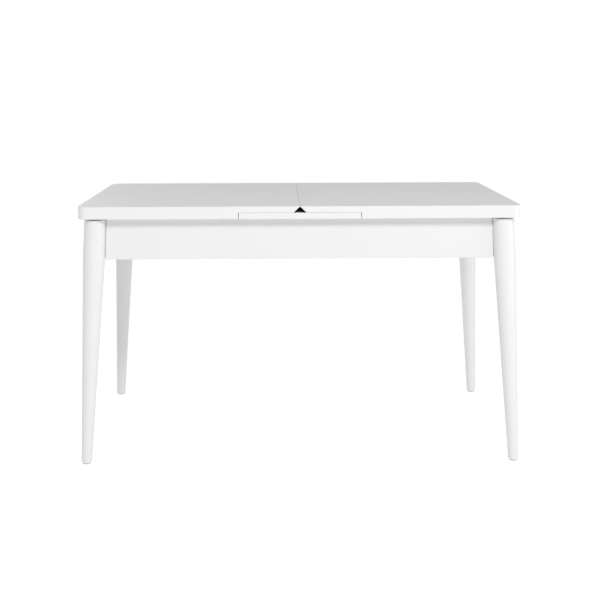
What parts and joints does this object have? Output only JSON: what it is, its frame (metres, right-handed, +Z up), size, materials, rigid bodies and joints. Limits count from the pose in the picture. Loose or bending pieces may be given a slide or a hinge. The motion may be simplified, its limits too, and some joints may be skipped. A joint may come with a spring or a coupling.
{
  "type": "extendable dining table",
  "caption": "Rectangular extendable dining table whose top parts in the middle over a hidden leaf that lifts flush, on splayed round tapered legs.",
  "frame": {"origin": "on the floor under the middle of the closed table", "axes": "+X to the right along the top, -Y towards the front, +Z up"},
  "size_m": [1.315, 0.809, 0.77],
  "materials": {
    "white_board": "satin white laminate on board",
    "white_lacquer": "satin white lacquer on wood",
    "edge_band": "satin white edge band",
    "black_strip": "matt black strip",
    "bare_wood": "sanded bare wood",
    "foot_plastic": "moulded glide",
    "nylon": "black nylon",
    "rolled_steel": "plated pressed steel",
    "zinc_steel": "zinc plated"
  },
  "bodies": {
    "frame": {"leg_front_left": "white_lacquer", "leg_front_right": "white_lacquer", "leg_back_left": "white_lacquer", "leg_back_right": "white_lacquer", "foot_glides": "foot_plastic", "apron_front": "white_lacquer", "apron_back": "white_lacquer", "apron_left": "white_lacquer", "apron_right": "white_lacquer", "corner_blocks": "bare_wood", "leg_bolts": "zinc_steel", "leg_washers": "zinc_steel", "leg_nuts": "zinc_steel", "block_screws": "zinc_steel", "centre_rail": "bare_wood", "side_rails": "bare_wood", "dowels": "bare_wood", "slide_rail_front": "zinc_steel", "slide_rail_back": "zinc_steel", "rail_screws": "zinc_steel", "lift_brackets_right": "zinc_steel", "lift_brackets_left": "zinc_steel", "pivot_pins_right": "zinc_steel", "pivot_pins_left": "zinc_steel", "bracket_screws": "zinc_steel"},
    "right_half": {"right_top_panel": "white_board", "right_lipping_front": "white_board", "right_lipping_back": "white_board", "right_lipping_end": "white_board", "right_edge_band": "edge_band", "right_seam_strip": "black_strip", "right_runner_bars": "nylon", "right_runner_angles": "zinc_steel", "right_drive_bars": "rolled_steel", "right_screws": "zinc_steel"},
    "left_half": {"left_top_panel": "white_board", "left_lipping_front": "white_board", "left_lipping_back": "white_board", "left_lipping_end": "white_board", "left_edge_band": "edge_band", "left_seam_strip": "black_strip", "left_runner_bars": "nylon", "left_runner_angles": "zinc_steel", "left_drive_bars": "rolled_steel", "left_screws": "zinc_steel"},
    "lever_right": {"levers_right": "rolled_steel"},
    "lever_left": {"levers_left": "rolled_steel"},
    "axle_right": {"axles_right": "zinc_steel", "rollers_right": "nylon"},
    "axle_left": {"axles_left": "zinc_steel", "rollers_left": "nylon"},
    "shoe_right": {"shoes_right": "nylon"},
    "shoe_left": {"shoes_left": "nylon"},
    "leaf": {"leaf_board": "white_board", "leaf_edge_bands": "edge_band", "leaf_rails_right": "rolled_steel", "leaf_rails_left": "rolled_steel", "leaf_screws": "zinc_steel"}
  },
  "joints": [
    {"name": "right_half_slide", "type": "slide", "parent": "frame", "child": "right_half", "axis": [1, 0, 0], "range_m": [0, 0.1785]},
    {"name": "left_half_slide", "type": "slide", "parent": "frame", "child": "left_half", "axis": [-1, 0, 0], "range_m": [0, 0.1785]},
    {"name": "lift_lever_right", "type": "hinge", "parent": "frame", "child": "lever_right", "pos_m": [-0.015, 0, 0.71], "axis": [0, -1, 0], "range_deg": [0, 5.93]},
    {"name": "lift_lever_left", "type": "hinge", "parent": "frame", "child": "lever_left", "pos_m": [0.015, 0, 0.71], "axis": [0, 1, 0], "range_deg": [0, 5.93]},
    {"name": "lift_axle_right", "type": "slide", "parent": "lever_right", "child": "axle_right", "axis": [0.9987, 0, -0.0518], "range_m": [0, 0.1788]},
    {"name": "lift_axle_left", "type": "slide", "parent": "lever_left", "child": "axle_left", "axis": [-0.9987, 0, -0.0518], "range_m": [0, 0.1788]},
    {"name": "lift_shoe_right", "type": "hinge", "parent": "axle_right", "child": "shoe_right", "pos_m": [-0.015, 0, 0.71], "axis": [0, -1, 0], "range_deg": [-5.93, 0]},
    {"name": "lift_shoe_left", "type": "hinge", "parent": "axle_left", "child": "shoe_left", "pos_m": [0.015, 0, 0.71], "axis": [0, 1, 0], "range_deg": [-5.93, 0]},
    {"name": "leaf_rail_slide", "type": "slide", "parent": "shoe_right", "child": "leaf", "axis": [-0.9987, 0, 0.0518], "range_m": [0, 0.1788]}
  ],
  "couplings": [
    {"joint": "left_half_slide", "follows": "right_half_slide", "ratio": 1},
    {"joint": "lift_axle_right", "follows": "right_half_slide", "ratio": 1.0013},
    {"joint": "lift_axle_left", "follows": "right_half_slide", "ratio": 1.0013},
    {"joint": "leaf_rail_slide", "follows": "right_half_slide", "ratio": 1.0013},
    {"joint": "lift_lever_left", "follows": "lift_lever_right", "ratio": 1},
    {"joint": "lift_shoe_right", "follows": "lift_lever_right", "ratio": -1},
    {"joint": "lift_shoe_left", "follows": "lift_lever_right", "ratio": -1}
  ]
}
